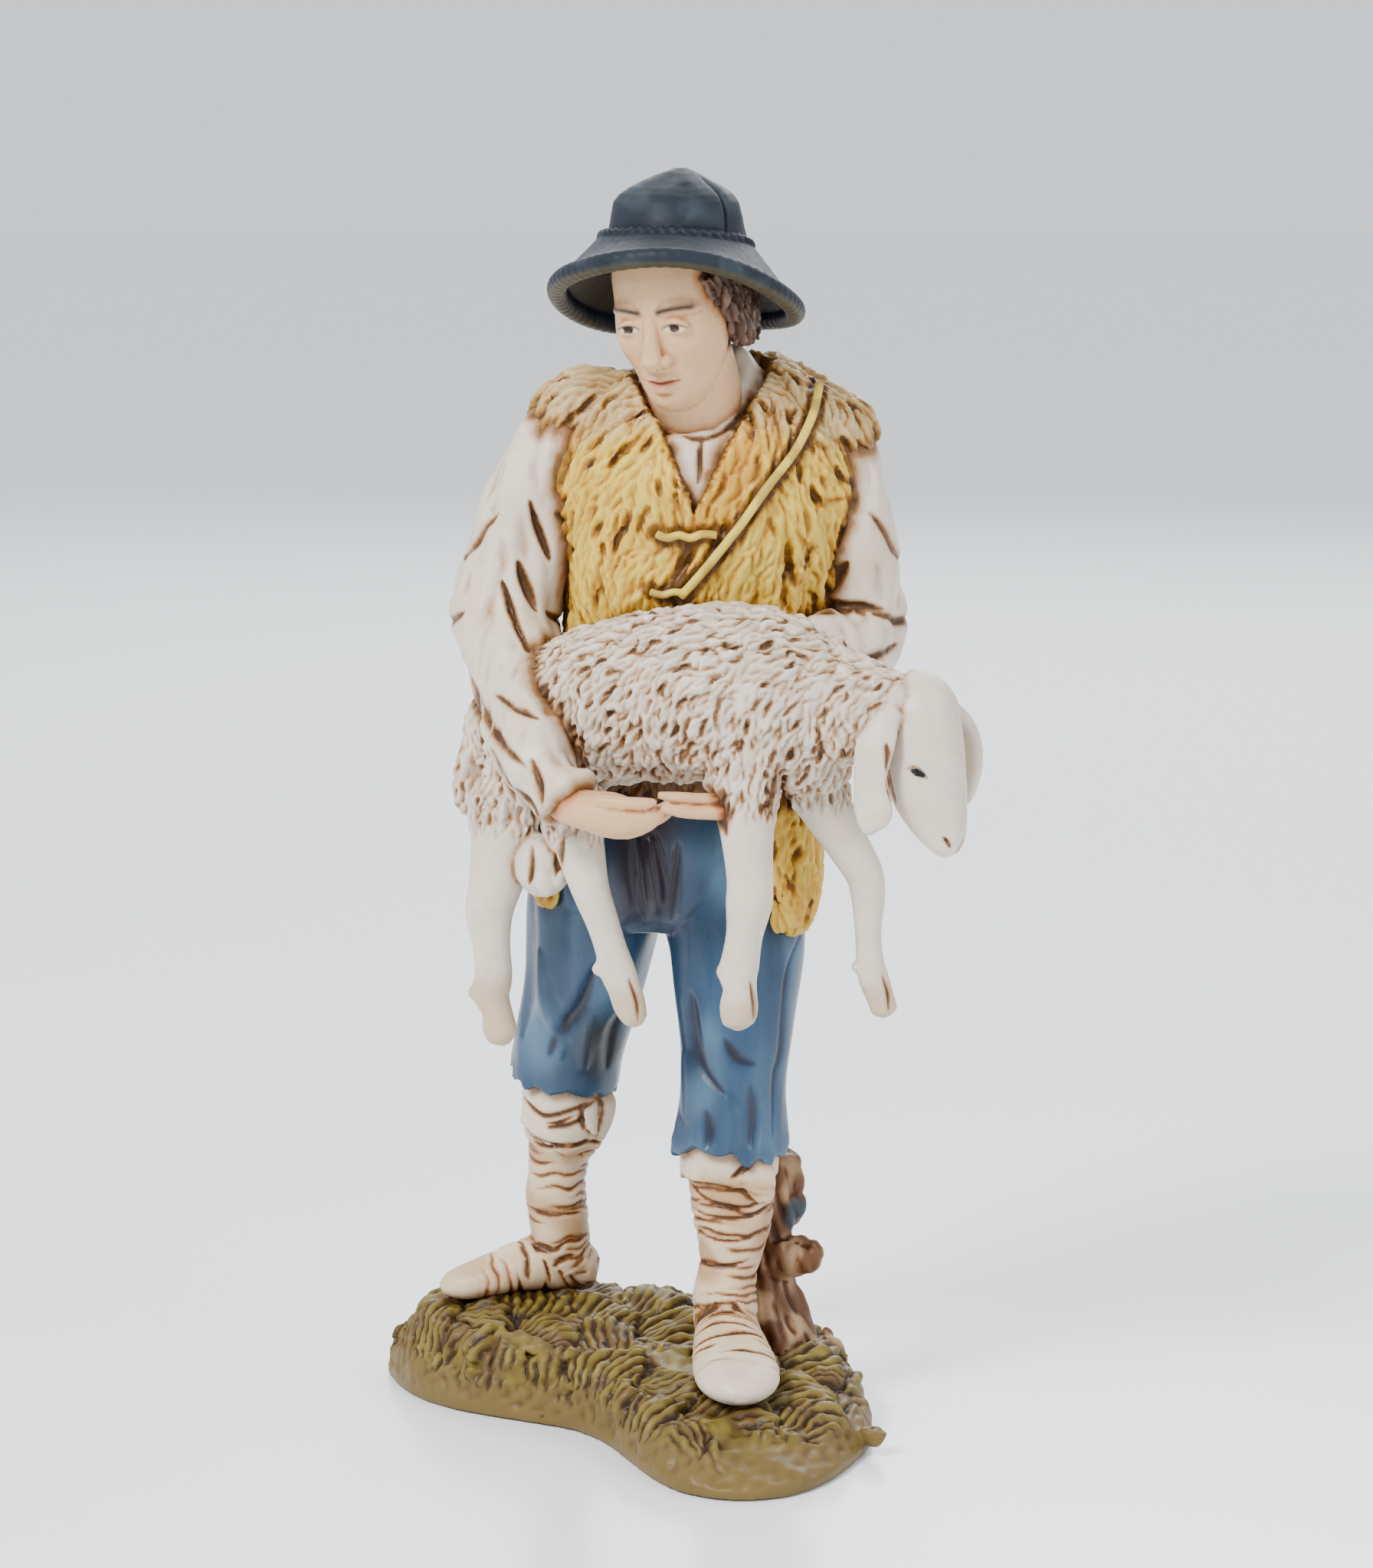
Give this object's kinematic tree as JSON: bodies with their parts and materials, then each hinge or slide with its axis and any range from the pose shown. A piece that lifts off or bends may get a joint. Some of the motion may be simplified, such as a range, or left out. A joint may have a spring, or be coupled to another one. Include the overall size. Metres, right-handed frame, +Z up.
{
  "type": "nativity shepherd figurine",
  "caption": "Painted nativity shepherd in a brimmed hat and fleece waistcoat, carrying a lamb across the belly, on a grassy mound with a stump.",
  "frame": {"origin": "middle of the base's outline, on its flat underside", "axes": "+Z up from the underside to the hat, the shepherd's front and forward foot towards -Y, the lamb's head towards +X"},
  "size_m": [0.0588, 0.0525, 0.1199],
  "materials": {
    "painted_cast": "satin hand-painted cast plastic with brown antiquing wash",
    "hat_paint": "satin blue-black paint",
    "skin_paint": "satin peach paint",
    "hair_paint": "satin brown paint",
    "fleece_paint": "yellow paint with brown wash",
    "shirt_paint": "ivory paint with brown wash in the folds",
    "wool_paint": "ivory paint with brown wash",
    "breeches_paint": "satin blue paint",
    "wrap_paint": "cream paint with brown wash",
    "ground_paint": "olive paint with brown wash"
  },
  "bodies": {
    "root": {"shepherd": "painted_cast"}
  },
  "joints": []
}
